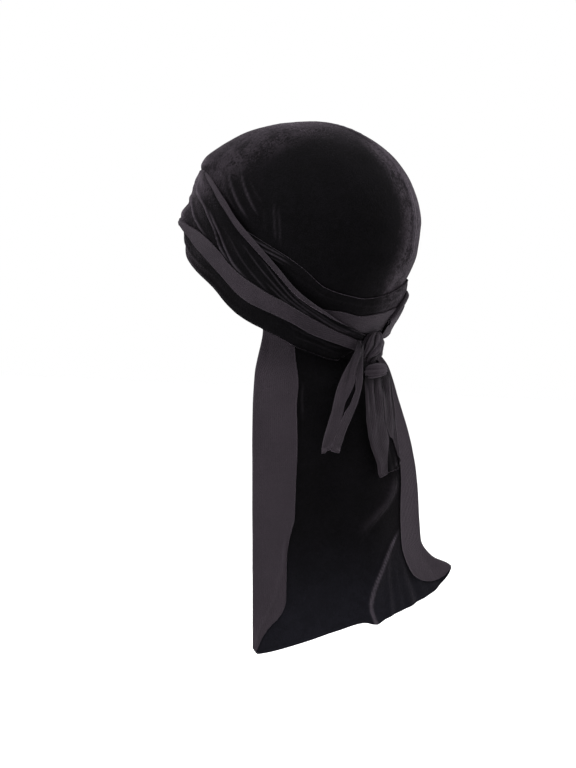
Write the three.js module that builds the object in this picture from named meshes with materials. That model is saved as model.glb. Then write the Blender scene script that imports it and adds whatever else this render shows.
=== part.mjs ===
// A tied durag in millimetres, +Z up: the wearer faces -Y and their left side is +X.
// The origin is the inner top of the crown, where the durag sits on a head.
// Every cloth piece lies over one head form: a place on it is a turn round the head
// (0 at the forehead, 90 over the left ear, 180 at the back) and a height below the top.
import * as THREE from 'three';
import { mergeVertices } from 'three/addons/utils/BufferGeometryUtils.js';

// Driving dimensions
const DOME_POWER = 2.25;       // 2 would be an ellipsoid, more is squarer
const DOME_SWING = 0.35;       // the dome is that much squarer in front and rounder behind
const TOP_BACK = 7;            // the top of the head lies that far behind its widest level
const DROP_PER_DEGREE = 1.5;   // below the widest level, height per degree of the drop angle
const CLOTH = 1.2;             // thickness of one layer of velvet with its knitted back
const GAP = 0.3;               // clearance between two pieces that touch
const ROLL = 1.2;              // how far a rolled edge stands out from its piece
const FIRST_LIFT = 1.7;        // from the head form to a strap that lies on the crown
const LAYER_RISE = 3;          // from one strap to another that lies over it
const SEAM_RIDGE = 1.3;        // height of the ridge along the centre seam
const SEAM_REACH = 3.5;        // how far from the seam the ridge fades away
const SEAM_LOWEST = { front: -26, back: -112 };   // the ridge lies flat below, under the straps

const CROWN_ROWS = 13;
const STRAP_STEP = 7;          // degrees of turn between two sections of a strap
const TAIL_ROWS = 24;

// Half lengths of the head by height: towards the face, the ears and the back
const HEAD_SECTIONS = [
  // height, front, side, back
  [-196, 89, 61, 48],
  [-171, 91, 66, 56],
  [-146, 94, 72, 72],
  [-126, 97, 75, 83],
  [-101, 98, 75.8, 94.5],
  [-80, 95, 76, 97],
];

// Lower edge of the crown panels, hidden under the straps all the way round
const CROWN_HEM = [
  // turn, height
  [0, -66],
  [30, -76],
  [50, -86],
  [70, -102],
  [90, -116],
  [110, -132],
  [140, -146],
  [180, -149],
];

// Tension folds in the crown, each a low ridge running down towards the left or right ear
const CROWN_FOLDS = [
  // turn at its top, turn at its foot, height of its top, height of its foot, rise, half width
  [66, 86, -36, -82, 0.8, 3],
  [73, 93, -38, -74, 0.7, 3],
  [97, 101, -62, -94, 0.6, 4],
];

// Left of the forehead the crown puffs out above the straps and they draw it in below
const BROW_TURN = 22;
const BROW_REACH = 50;         // degrees of turn over which it fades away
const BROW = [
  // height, how far the cloth stands out
  [-82, 0],
  [-74, -1.2],
  [-64, -3.4],
  [-54, -3.4],
  [-44, -2.2],
  [-38, -0.6],
  [-32, 3],
  [-27, 3.8],
  [-19, 1],
  [-10, 0],
];

// The two straps. Turn 50 is the left temple, and each row down the list is further along
// the strap: round the back, over the far ear, across the forehead and back to the nape.
// The rolled share is how much of the width is turned outwards along the lower edge, and
// the early share how much of the step from one layer to the other is made low down.
const LEFT_STRAP = [
  // turn, lower edge, upper edge, layer at the lower edge, layer at the upper edge, rolled,
  // early share
  [50, -91, -76, 1, 1, 0, 0],
  [62, -101, -77, 1, 1, 0, 0],
  [77, -111, -81, 1, 1, 0, 0],
  [97.5, -129, -97.5, 1, 1, 0.1, 0],
  [113.5, -142, -113.5, 1, 1, 0.2, 0],
  [127.5, -151, -128.5, 1.1, 1, 0.3, 0],
  [140.5, -156, -134, 1.6, 1, 0.4, 0],
  [154.5, -160, -137, 2, 1, 0.45, 0],
  [171, -162, -134.5, 2, 1, 0.5, 0],
  [185, -160, -129, 2, 1.1, 0.4, 0],
  [200, -158, -125, 2, 1.3, 0.3, 0],
  [213, -159, -124, 2, 1.8, 0.3, 0],
  [225, -160, -124, 2, 2, 0.25, 0],
  [244, -160, -124, 2, 2, 0.25, 0],
  [258, -157, -122, 1, 1, 0.25, 0],
  [270, -150, -114, 1, 1, 0.25, 0],
  [290, -135, -103, 1, 1, 0.25, 0],
  [312, -117, -88, 1, 1, 0.2, 0],
  [327, -104, -71, 1, 1.6, 0.15, 0],
  [335, -98, -58, 1.8, 2, 0.1, 0],
  [348, -92, -50, 2, 2, 0.1, 0],
  [360, -88, -43, 2, 2, 0.12, 0],
  [375, -83, -38, 2.9, 1.6, 0.15, 0.3],
  [385, -82, -37.2, 3.3, 1.3, 0.12, 0.8],
  [394, -82.5, -37, 3.3, 1.15, 0.1, 1],
  [401, -87, -38.5, 2.8, 1.1, 0.15, 0.8],
  [408, -93.5, -41, 2, 1.1, 0.2, 0],
  [420, -105, -49.5, 2, 1, 0.29, 0],
  [431.5, -119, -62, 2.1, 1.2, 0.31, 0],
  [440, -131, -76.5, 2.4, 1.6, 0.32, 0],
  [448, -140, -90, 2.4, 2, 0.32, 0],
  [460, -147, -110.5, 2.4, 2, 0.36, 0],
  [472, -153.5, -129, 2.5, 2.2, 0.46, 0],
  [483.5, -161, -140, 2.5, 2.8, 0.5, 0],
  [500, -168.5, -152, 2.3, 3, 0.6, 0],
  [525.3, -178, -163.5, 2.5, 3.1, 0.5, 0],
];
const RIGHT_STRAP = [
  // turn, lower edge, upper edge, layer at the lower edge, layer at the upper edge, rolled,
  // early share
  [305, -89, -74, 1, 1, 0, 0],
  [290, -100, -76, 1, 1, 0, 0],
  [270, -111, -88, 1, 1, 0, 0],
  [250, -121, -101, 1, 1, 0.1, 0],
  [225, -143, -120, 1, 1, 0.2, 0],
  [200, -164, -141, 1, 1, 0.25, 0],
  [185, -172, -151, 1, 1, 0.25, 0],
  [165, -180, -161, 1, 1, 0.25, 0],
  [149.5, -185.5, -165, 1.1, 1, 0.25, 0],
  [127, -179, -156, 1.3, 1.1, 0.2, 0],
  [114.5, -173, -147, 1.4, 1.2, 0.15, 0],
  [91, -160, -126, 1.4, 1.2, 0.12, 0],
  [77, -149, -115, 1.2, 1, 0.1, 0],
  [62, -128.5, -105, 1, 1, 0.1, 0],
  [47.5, -116.5, -94, 1, 1.1, 0.1, 0.6],
  [33, -107, -76, 1, 2.05, 0.1, 1],
  [25, -102, -69.5, 1, 1.75, 0.1, 1],
  [15, -96, -62, 1, 1.2, 0.1, 1],
  [0, -86, -48, 1, 1, 0.1, 0],
  [-12, -72, -36, 1, 1, 0.1, 0],
  [-25, -56, -28, 1.1, 1, 0.1, 0],
  [-40, -76, -34, 1.8, 1, 0.15, 0],
  [-54, -99, -44, 2, 1, 0.25, 0],
  [-71.5, -119, -62, 2, 1.2, 0.31, 0],
  [-80, -131, -76.5, 2.1, 1.6, 0.32, 0],
  [-88, -140, -90, 2.2, 2, 0.32, 0],
  [-98, -147, -106, 2.2, 2.4, 0.36, 0],
  [-108, -152, -120, 3, 3, 0.46, 0],
  [-125, -158, -130, 3, 3, 0.5, 0],
  [-144, -162, -133, 3, 3, 0.6, 0],
  [-158, -165.5, -136, 3, 3, 0.6, 0],
  [-168, -167, -141, 3, 3, 0.5, 0],
  [-176.5, -166.5, -155, 3, 3, 0.5, 0],
];

// Relief across a strap, outside its rolled lower edge: share of the flat part, rise
const STRAP_PLEATS = [
  [0.06, 0],
  [0.3, 1.3],
  [0.45, 0.1],
  [0.68, 1.1],
  [0.86, 0.1],
  [0.94, 0.9],
  [1, 0.9],
];

// The tail. Its top lies on the nape under the straps, from the left ear to behind the right
// one, and follows the lower edge of the crown. Below the straps it hangs clear, and each of
// its levels gives where its left fold, two places between, its crease and its right fold are.
const TAIL_STATIONS = [0, 0.3, 0.55, 0.75, 1];
const TAIL_NAPE = [
  // station, turn at the top, turn at the straps' lower edge, height there
  [0, 91, 91, -162],
  [0.3, 127, 126, -179],
  [0.55, 155, 153, -186],
  [0.75, 182, 177, -186],
  [1, 226, 206, -178],
];
const TAIL_LEVELS = [
  { height: -197, x: [77.5, 53.5, 28, 3, -23], y: [-9, 28, 44, 51.5, 57] },
  { height: -223, x: [81, 55, 30, 3, -25.5], y: [-9, 22, 44, 56, 65.2] },
  { height: -261, x: [82, 54.5, 31, 6, -30], y: [-9, 20, 43, 61, 75] },
  { height: -296, x: [82, 54, 31, 9, -33], y: [-9, 19, 42, 63, 79.2] },
  { height: -336, x: [82, 54, 31, 11, -36.5], y: [-9, 19, 42, 63, 80.5] },
  { height: -386, x: [82, 54, 31, 12, -65], y: [-9, 19, 42, 64.5, 97] },
];
const TAIL_HEM = [
  // station, height
  [0, -417.5],
  [0.1, -416.2],
  [0.3, -410.8],
  [0.55, -402.2],
  [0.7, -397.2],
  [0.745, -398.8],
  [0.79, -395],
  [0.88, -387.5],
  [0.94, -380],
  [1, -366.5],
];
// Width of cloth turned outwards along the two side edges of the tail
const TAIL_ROLLS = [
  // share of the way down, left roll, right roll
  [0, 0.25, 0.08],
  [0.4, 0.26, 0.12],
  [0.6, 0.24, 0.12],
  [0.75, 0.19, 0.14],
  [0.86, 0.18, 0.16],
  [0.93, 0.1, 0.1],
  [1, 0.02, 0.02],
];
const TAIL_EDGE = 0.02;        // share of the width over which a turned edge steps down
const TAIL_MIDDLE = [0.33, 0.4, 0.47, 0.54, 0.61, 0.67, 0.71, 0.75, 0.79, 0.83];
const TAIL_CREASE = 5;         // how far the crease stands out at the hem
const TAIL_RIPPLE = 1.5;       // height of the small waves in the hem, right of the crease

// Knot and free ends
const KNOT_CENTRE = new THREE.Vector3(8.5, 60.2, -179);
const KNOT_HALF = new THREE.Vector3(16, 8, 12);
const LOOP_CENTRE = new THREE.Vector3(7.5, 62, -196);
const LOOP_HALF = new THREE.Vector3(12, 7.5, 5.3);
const LEFT_END = [
  // share of its length, x, y, z, half width
  [0, 25.8, 59.2, -179, 2.6],
  [0.1, 28.4, 58.4, -186, 4.7],
  [0.2, 31, 57, -193, 6.9],
  [0.3, 32.5, 56, -202, 9],
  [0.4, 34, 54.8, -211, 10.2],
  [0.55, 37, 52.5, -224, 10.2],
  [0.7, 40, 50, -237, 9],
  [0.85, 44, 47, -250, 8.6],
  [1, 46.5, 45, -262.5, 7.2],
];
const RIGHT_END = [
  // share of its length, x, y, z, half width
  [0, 7.2, 62.5, -201.7, 12],
  [0.3, 7, 64.5, -226, 14.8],
  [0.6, 6, 66.5, -250, 14.8],
  [0.85, 3, 70, -270, 11.5],
  [1, 4, 70.5, -282.5, 9.5],
];
const END_FACING = { left: 43, right: 22 };   // degrees that each end faces away from +Y
const END_FOLD = 2.2;                         // depth of the lengthwise folds in an end

// Materials: the velvet face and the matt knitted back that shows where an edge is rolled
const VELVET = { color: 0x141216, roughness: 0.85, metalness: 0 };
const KNIT = { color: 0x39323a, roughness: 0.95, metalness: 0 };

const radians = THREE.MathUtils.degToRad;
const clamp = THREE.MathUtils.clamp;
const ease = (value, from, to) => THREE.MathUtils.smoothstep(value, from, to);

// Smooth values between the rows of a table, without overshoot, by the first column
function along(table) {
  const rows = table[0][0] > table[table.length - 1][0] ? [...table].reverse() : table;
  const last = rows.length - 1;
  const steep = (i, c) => (rows[i + 1][c] - rows[i][c]) / (rows[i + 1][0] - rows[i][0]);
  const slope = (i, c) => {
    if (i === 0 || i === last) return steep(Math.min(i, last - 1), c);
    const [before, after] = [steep(i - 1, c), steep(i, c)];
    return before * after > 0 ? (2 * before * after) / (before + after) : 0;
  };
  return (value) => {
    const key = clamp(value, rows[0][0], rows[last][0]);
    const i = clamp(rows.findIndex((row) => row[0] > key) - 1, 0, last - 1);
    const from = key === rows[last][0] ? last - 1 : i;
    const span = rows[from + 1][0] - rows[from][0];
    const t = (key - rows[from][0]) / span;
    return rows[from].slice(1).map((start, column) => {
      const c = column + 1;
      const end = rows[from + 1][c];
      const lead = (t ** 3 - 2 * t ** 2 + t) * span * slope(from, c);
      const trail = (t ** 3 - t ** 2) * span * slope(from + 1, c);
      return (2 * t ** 3 - 3 * t ** 2 + 1) * start + lead + (3 * t ** 2 - 2 * t ** 3) * end + trail;
    });
  };
}

// Head form
const headSection = along(HEAD_SECTIONS);
const browRise = along(BROW);
const WIDEST = HEAD_SECTIONS[HEAD_SECTIONS.length - 1][0];

// The drop angle runs down the head from 0 at the top, through 90 at the widest level
function heightAt(drop) {
  if (drop > 90) return WIDEST - (drop - 90) * DROP_PER_DEGREE;
  return WIDEST - WIDEST * Math.cos(radians(drop));
}
function dropAt(height) {
  if (height < WIDEST) return 90 + (WIDEST - height) / DROP_PER_DEGREE;
  return THREE.MathUtils.radToDeg(Math.acos(clamp(1 - height / WIDEST, 0, 1)));
}
function headPoint(turn, drop) {
  const height = heightAt(drop);
  const [front, side, back] = headSection(Math.min(height, WIDEST));
  const forward = Math.cos(radians(turn));
  const power = DOME_POWER + DOME_SWING * forward;
  const inward = drop > 90 ? 1 : (1 - Math.cos(radians(drop)) ** power) ** (1 / power);
  const length = forward > 0 ? front : back;
  const ahead = TOP_BACK * Math.sin(radians(Math.min(drop, 90))) ** 2;
  const aside = Math.cos(radians(turn - BROW_TURN));
  const brow = browRise(height)[0] * ease(aside, Math.cos(radians(BROW_REACH)), 1);
  const x = (side * inward + brow) * Math.sin(radians(turn));
  return new THREE.Vector3(x, -(length * inward + brow) * forward - ahead, height);
}
function offHead(turn, drop, lift) {
  const point = headPoint(turn, drop);
  if (drop < 0.5) return point.add(new THREE.Vector3(0, 0, lift));
  const step = 0.1;
  const round = headPoint(turn + step, drop).sub(headPoint(turn - step, drop));
  const down = headPoint(turn, drop + step).sub(headPoint(turn, drop - step));
  return point.add(down.cross(round).normalize().multiplyScalar(lift));
}

// A closed sheet from two grids of points of the same size, its outer and its inner face
function sheet(outer, inner) {
  const rows = outer.length;
  const columns = outer[0].length;
  const positions = [...outer.flat(), ...inner.flat()].flatMap((point) => point.toArray());
  const at = (row, column, face) => face * rows * columns + row * columns + column;
  const faces = [];
  const quad = (a, b, c, d) => faces.push(a, b, c, a, c, d);
  for (let r = 0; r < rows - 1; r += 1) {
    for (let c = 0; c < columns - 1; c += 1) {
      quad(at(r, c, 0), at(r + 1, c, 0), at(r + 1, c + 1, 0), at(r, c + 1, 0));
      quad(at(r, c, 1), at(r, c + 1, 1), at(r + 1, c + 1, 1), at(r + 1, c, 1));
    }
  }
  for (let c = 0; c < columns - 1; c += 1) {
    quad(at(0, c, 0), at(0, c + 1, 0), at(0, c + 1, 1), at(0, c, 1));
    quad(at(rows - 1, c, 0), at(rows - 1, c, 1), at(rows - 1, c + 1, 1), at(rows - 1, c + 1, 0));
  }
  for (let r = 0; r < rows - 1; r += 1) {
    quad(at(r, 0, 0), at(r, 0, 1), at(r + 1, 0, 1), at(r + 1, 0, 0));
    quad(at(r, columns - 1, 0), at(r + 1, columns - 1, 0), at(r + 1, columns - 1, 1), at(r, columns - 1, 1));
  }
  return closed(positions, faces);
}

// A solid's geometry with its repeated points joined and its flat triangles dropped
function closed(positions, faces) {
  const raw = new THREE.BufferGeometry();
  raw.setAttribute('position', new THREE.Float32BufferAttribute(positions, 3));
  raw.setIndex(faces);
  const joined = mergeVertices(raw, 1e-4);
  const index = [...joined.index.array];
  const kept = [];
  for (let i = 0; i < index.length; i += 3) {
    const [a, b, c] = index.slice(i, i + 3);
    if (a !== b && b !== c && c !== a) kept.push(a, b, c);
  }
  joined.setIndex(kept);
  joined.computeVertexNormals();
  return joined;
}

function piece(name, geometry, finish) {
  const mesh = new THREE.Mesh(geometry, new THREE.MeshStandardMaterial(finish));
  mesh.name = name;
  return mesh;
}

const crownHem = along(CROWN_HEM);

// Crown panels: side is 1 for the wearer's left and -1 for their right
const CROWN_TURNS = [0, 3, 8, 18, 30, 42, 52, 60, 66, 71, 76, 81, 86, 91, 96, 101, 106, 114, 124, 136, 148,
  160, 170, 176, 180];

function crownRelief(turn, height, x) {
  const lowest = turn < 90 ? SEAM_LOWEST.front : SEAM_LOWEST.back;
  const ridge = SEAM_RIDGE * Math.exp(-((x / SEAM_REACH) ** 2)) * ease(height, lowest, lowest + 10);
  const folds = CROWN_FOLDS.map(([topTurn, footTurn, top, foot, rise, reach]) => {
    const share = (top - height) / (top - foot);
    const middle = topTurn + (footTurn - topTurn) * share;
    const fade = ease(share, -0.1, 0.3) * (1 - ease(share, 0.8, 1.15));
    return rise * fade * Math.exp(-(((turn - middle) / reach) ** 2));
  });
  return ridge + folds.reduce((sum, rise) => sum + rise, 0);
}
function crownPanel(side) {
  const face = (outside) => {
    const grid = [];
    for (let row = 0; row <= CROWN_ROWS; row += 1) {
      grid.push(CROWN_TURNS.map((turn) => {
        const drop = (row / CROWN_ROWS) * dropAt(crownHem(turn)[0]);
        const relief = crownRelief(turn, heightAt(drop), headPoint(turn, drop).x);
        const point = offHead(side * turn, drop, outside ? CLOTH + relief : 0);
        point.x = side * Math.max(side * point.x, GAP / 2);
        return point;
      }));
    }
    return side > 0 ? grid : grid.map((line) => line.reverse());
  };
  return sheet(face(true), face(false));
}

// Straps
const STRAP_EDGE = 0.04;       // share of the width over which the rolled edge rises
const LEAST_ROLL = 0.08;       // share of the width kept for it where nothing is rolled
const EARLY_FROM = 0.12;       // an early step from layer to layer lies between these shares
const EARLY_TO = 0.6;

function strapAcross(roll) {
  const rise = roll > 0.02 ? ROLL : 0;
  const flatFrom = Math.max(roll, LEAST_ROLL);
  const pleats = STRAP_PLEATS.map(([share, height]) => [flatFrom + (1 - flatFrom) * share, height]);
  return [[0, 0], [STRAP_EDGE, rise], [flatFrom, rise], ...pleats];
}
function strap(table) {
  const edges = along(table);
  const start = table[0][0];
  const end = table[table.length - 1][0];
  const count = Math.round(Math.abs(end - start) / STRAP_STEP);
  const outer = [];
  const inner = [];
  for (let i = 0; i <= count; i += 1) {
    const turn = start + ((end - start) * i) / count;
    const [low, high, lowLayer, highLayer, roll, early] = edges(turn);
    const place = ([share, rise]) => {
      const step = (1 - early) * share ** 3 + early * ease(share, EARLY_FROM, EARLY_TO);
      const layer = lowLayer + (highLayer - lowLayer) * step;
      const lift = FIRST_LIFT + (layer - 1) * LAYER_RISE;
      return offHead(turn, dropAt(low + (high - low) * share), lift + rise);
    };
    const across = end < start ? strapAcross(roll).reverse() : strapAcross(roll);
    outer.push(across.map(([share, rise]) => place([share, CLOTH + rise])));
    inner.push(across.map(([share]) => place([share, 0])));
  }
  return sheet(outer, inner);
}

// Tail
const tailHem = along(TAIL_HEM);
const tailNape = along(TAIL_NAPE);
const tailLines = TAIL_LEVELS.map(({ x, y }) => {
  return along(TAIL_STATIONS.map((station, k) => [station, x[k], y[k]]));
});

// One strand down the tail: three places on the nape, then one on each level
function tailStrand(share) {
  const [topTurn, edgeTurn, edgeHeight] = tailNape(share);
  const topHeight = crownHem(Math.min(topTurn, 360 - topTurn))[0] - GAP;
  const nape = [0, 0.5, 1].map((part) => {
    const height = topHeight + (edgeHeight - topHeight) * part;
    return offHead(topTurn + (edgeTurn - topTurn) * part, dropAt(height), GAP * part);
  });
  const hanging = TAIL_LEVELS.map((level, i) => {
    const [x, y] = tailLines[i](share);
    return new THREE.Vector3(x, y, i === TAIL_LEVELS.length - 1 ? tailHem(share)[0] : level.height);
  });
  const places = [...nape, ...hanging];
  return along(places.map((place, i) => [i / (places.length - 1), ...place.toArray()]));
}
function tailPlan(share, down) {
  return new THREE.Vector3(...tailStrand(share)(down));
}
function tailPoint(share, down, lift) {
  const step = 0.01;
  const right = tailPlan(Math.min(share + step, 1), down).sub(tailPlan(Math.max(share - step, 0), down));
  const below = tailPlan(share, Math.min(down + step, 1)).sub(tailPlan(share, Math.max(down - step, 0)));
  const out = below.cross(right).normalize();
  const crease = TAIL_CREASE * ease(down, 0.65, 1) * Math.exp(-(((share - 0.75) / 0.05) ** 2));
  const wave = TAIL_RIPPLE * ease(down, 0.85, 1) * ease(share, 0.78, 0.84) * Math.sin(share * 90);
  return tailPlan(share, down).add(out.multiplyScalar(lift + crease + wave));
}
function tail() {
  const rolls = along(TAIL_ROLLS);
  const outer = [];
  const inner = [];
  for (let row = 0; row <= TAIL_ROWS; row += 1) {
    const down = row / TAIL_ROWS;
    const [left, right] = rolls(down);
    const leftRoll = [0, left / 2, left, left + TAIL_EDGE];
    const rightRoll = [1 - right - TAIL_EDGE, 1 - right, 1 - right / 2, 1];
    const rise = ROLL * ease(down, 0.1, 0.3);
    const rolled = (share) => share <= left || share >= 1 - right;
    const shares = [...leftRoll, ...TAIL_MIDDLE, ...rightRoll];
    outer.push(shares.map((share) => tailPoint(share, down, CLOTH + (rolled(share) ? rise : 0))));
    inner.push(shares.map((share) => tailPoint(share, down, 0)));
  }
  return sheet(outer, inner);
}

// Knot: a ball of strap with three slanting folds wound round it
function lump(centre, half, folds, depth, slant) {
  const ball = new THREE.SphereGeometry(1, 20, 12);
  ball.deleteAttribute('normal');
  ball.deleteAttribute('uv');
  const joined = mergeVertices(ball, 1e-4);
  const place = joined.attributes.position;
  const point = new THREE.Vector3();
  for (let i = 0; i < place.count; i += 1) {
    point.fromBufferAttribute(place, i);
    const round = Math.atan2(point.x, -point.z) * folds + point.y * slant;
    point.multiplyScalar(1 - depth * (0.5 + 0.5 * Math.cos(round)));
    point.applyAxisAngle(new THREE.Vector3(1, 0, 0), Math.PI / 2);
    point.multiply(half).add(centre);
    place.setXYZ(i, point.x, point.y, point.z);
  }
  joined.computeVertexNormals();
  return joined;
}

// Free ends: a strap folded lengthwise, hanging from the knot against the tail
const END_ROWS = 14;
const END_COLUMNS = 8;

function freeEnd(table, facing) {
  const route = along(table);
  const out = new THREE.Vector3(Math.sin(radians(facing)), Math.cos(radians(facing)), 0);
  const across = new THREE.Vector3(-out.y, out.x, 0);
  const line = (row, lift) => {
    const [x, y, z, half] = route(row / END_ROWS);
    return Array.from({ length: END_COLUMNS + 1 }, (_, column) => {
      const side = (2 * column) / END_COLUMNS - 1;
      const fold = END_FOLD * Math.abs(Math.sin(side * Math.PI));
      const place = new THREE.Vector3(x, y, z).addScaledVector(across, side * half);
      return place.addScaledVector(out, lift + fold);
    });
  };
  const rows = Array.from({ length: END_ROWS + 1 }, (_, row) => row);
  return sheet(rows.map((row) => line(row, 2 * CLOTH)), rows.map((row) => line(row, 0)));
}

const durag = new THREE.Group();
durag.add(piece('crown_left_panel', crownPanel(1), VELVET));
durag.add(piece('crown_right_panel', crownPanel(-1), VELVET));
durag.add(piece('tail', tail(), VELVET));
durag.add(piece('strap_left', strap(LEFT_STRAP), VELVET));
durag.add(piece('strap_right', strap(RIGHT_STRAP), VELVET));
durag.add(piece('knot', lump(KNOT_CENTRE, KNOT_HALF, 3, 0.1, 1.5), KNIT));
durag.add(piece('knot_loop', lump(LOOP_CENTRE, LOOP_HALF, 2, 0.05, 0), KNIT));
durag.add(piece('strap_end_left', freeEnd(LEFT_END, END_FACING.left), KNIT));
durag.add(piece('strap_end_right', freeEnd(RIGHT_END, END_FACING.right), KNIT));

export default durag;
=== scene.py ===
import math

import bpy
import numpy as np
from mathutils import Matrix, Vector


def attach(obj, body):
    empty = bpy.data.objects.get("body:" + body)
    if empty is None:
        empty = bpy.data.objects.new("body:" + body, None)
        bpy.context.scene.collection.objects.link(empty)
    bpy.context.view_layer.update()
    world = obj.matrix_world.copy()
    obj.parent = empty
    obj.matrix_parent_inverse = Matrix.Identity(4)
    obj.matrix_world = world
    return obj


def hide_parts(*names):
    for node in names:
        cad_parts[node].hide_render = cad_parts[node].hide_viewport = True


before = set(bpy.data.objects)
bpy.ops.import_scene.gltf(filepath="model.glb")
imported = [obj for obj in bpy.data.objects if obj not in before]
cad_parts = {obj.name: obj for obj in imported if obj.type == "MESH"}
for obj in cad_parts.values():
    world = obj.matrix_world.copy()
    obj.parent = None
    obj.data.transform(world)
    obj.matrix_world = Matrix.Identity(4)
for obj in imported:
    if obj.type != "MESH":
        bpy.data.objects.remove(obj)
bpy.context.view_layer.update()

# A tied durag. Sizes are in millimetres until a mesh is made. The wearer faces -Y and the
# origin is the inner top of the crown. A place on the head is a turn round it (0 at the
# forehead, 90 over the left ear, 180 at the back) and a height, or in place of the height a
# drop: an angle from 0 at the top to 90 at the widest level, and on from there downwards.
MM = 0.001

# ---------------- sizes and tables
DOME_POWER = 2.25        # squareness of the dome: 2 is an ellipsoid
DOME_SWING = 0.35        # squarer in front, rounder behind
TOP_BACK = 7             # the top lies that far behind the widest level
DROP_PER_DEGREE = 1.5    # below the widest level, mm of height per degree of the drop
SLOPE_STEP = 0.1         # degrees to either side, over which the form's slope is measured
HEAD_SECTIONS = [
    # height, half length to the front, to the side, to the back
    (-196, 89, 61, 48),
    (-171, 91, 66, 56),
    (-146, 94, 72, 72),
    (-126, 97, 75, 83),
    (-101, 98, 75.8, 94.5),
    (-80, 95, 76, 97),
]
WIDEST = -80
BROW_TURN = 22           # left of the forehead the crown puffs out above the straps
BROW_REACH = 50          # degrees of turn over which that fades away
BROW = [
    # height, how far the cloth stands out
    (-82, 0), (-74, -1.2), (-64, -3.4), (-54, -3.4), (-44, -2.2), (-38, -0.6), (-32, 3),
    (-27, 3.8), (-19, 1), (-10, 0),
]

CLOTH = 1.0              # thickness of the velvet with its knitted back
EDGE_BULGE = 0.45        # a raw edge is rounded out by this share of the thickness
PLY = 1.12               # from one layer to another that is folded flat on it
FOLD_RADIUS = 0.85       # of the round edge where the cloth is turned over
FOLD_EASE = 2.6          # within this length a turned layer settles flat
ROLL_RADIUS = 1.25       # of a strap's upper edge, which rolls over loosely
CURL_START = 0.3         # an edge turned by less than this ends flat
CURL_END = 2.6           # an edge turned by more than this lies folded right over
TURNED = 0.01            # cloth lifted by more than this is part of a turned edge
FIRST_LIFT = 1.7         # from the head to a strap that lies on the crown
LAYER_RISE = 3           # from one strap to another that lies over it
CUT_TUCK = 0.45          # a strap's upper edge nestles in by so much where it is left flat
HIGH_TUCK = 1.1          # and by so much more where it lies over another strap
TUCK_START = 0.84        # share of the strap's width from which it does

CROWN_ROWS = 190
CROWN_COLUMNS = 96
CROWDING = 1.15          # the power by which rows or columns crowd together at one end
CROWN_END = 0.02         # share of the way that the first and last rows keep off the hem
CROWN_LIFT = 0.1         # from the head form to the inner side of the crown
CROWN_HEM = [
    # turn, height
    (0, -66), (30, -76), (50, -86), (70, -102), (90, -116), (110, -132), (140, -146),
    (180, -149),
]
SEAM_RISE = 1.25         # height of the ridge that the centre seam raises
SEAM_REACH = 3.4         # how far from the seam the ridge fades away
SEAM_GROOVE = 0.45       # depth of the fine groove along the stitching
GROOVE_REACH = 0.7
SEAM_PUCKER = 0.22       # height of the small puckers beside the stitching
PUCKER_OFF = 3.2         # how far from the seam they are highest
PUCKER_REACH = 2.2
SEAM_FRONT = -26         # below these heights the ridge lies flat under the straps
SEAM_BACK = -112
SEAM_FADE = 12           # it rises over so much height above them
SEAM_HOLD = 14           # within this distance it keeps the cloth from swelling
SEAM_GAP = 0.06          # from the middle plane to each half of the crown

# Tension folds in the crown, each a low ridge that runs down towards an ear
CROWN_FOLDS = [
    # turn at the top, at the foot, height of the top, of the foot, rise, half width in mm
    (64, 83, -33, -72, 1.0, 1.7),
    (74, 89, -35, -70, 0.9, 1.5),
    (60, 76, -36, -66, 0.5, 1.5),
    (82, 92, -44, -64, 0.4, 1.3),
    (98, 99, -60, -90, 0.55, 1.3),
    (100.5, 101.5, -64, -94, 0.5, 1.3),
    (93, 94, -66, -84, 0.3, 1.3),
    (70, 96, -78, -92, 0.5, 1.4),
]
MM_PER_DEGREE = 1.25     # of turn, on the side of the crown where the folds lie

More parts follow.
